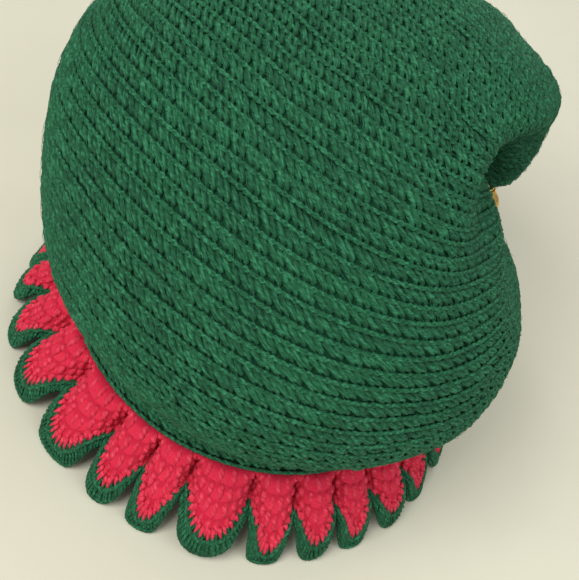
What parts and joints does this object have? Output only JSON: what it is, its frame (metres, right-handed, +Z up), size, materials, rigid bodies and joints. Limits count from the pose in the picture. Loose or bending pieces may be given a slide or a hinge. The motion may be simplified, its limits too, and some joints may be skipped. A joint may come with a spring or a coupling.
{
  "type": "crochet elf hat",
  "caption": "Slouchy crochet elf hat: a tall green bag folded over to the back, a ruffled red frill with a green edge round the brim, and a jingle bell on the tip.",
  "frame": {"origin": "on the surface it rests on, below the middle of the whole hat", "axes": "+Z up out of the head opening towards the crown, +Y towards the back, the way the bag folds over, +X to the side where the bell hangs"},
  "size_m": [0.2502, 0.261, 0.2126],
  "materials": {
    "green_yarn": "soft double-crochet wool-look yarn, matt, fuzzy",
    "red_yarn": "soft crocheted yarn, matt, fuzzy",
    "green_edging_yarn": "soft crocheted yarn, matt, fuzzy",
    "brass": "thin pressed metal, gold coloured, polished",
    "tie_yarn": "one loop of the same yarn"
  },
  "bodies": {
    "root": {"crown": "green_yarn", "ruffle": "red_yarn", "ruffle_edging": "green_edging_yarn", "bell": "brass", "bell_tie": "tie_yarn"}
  },
  "joints": []
}
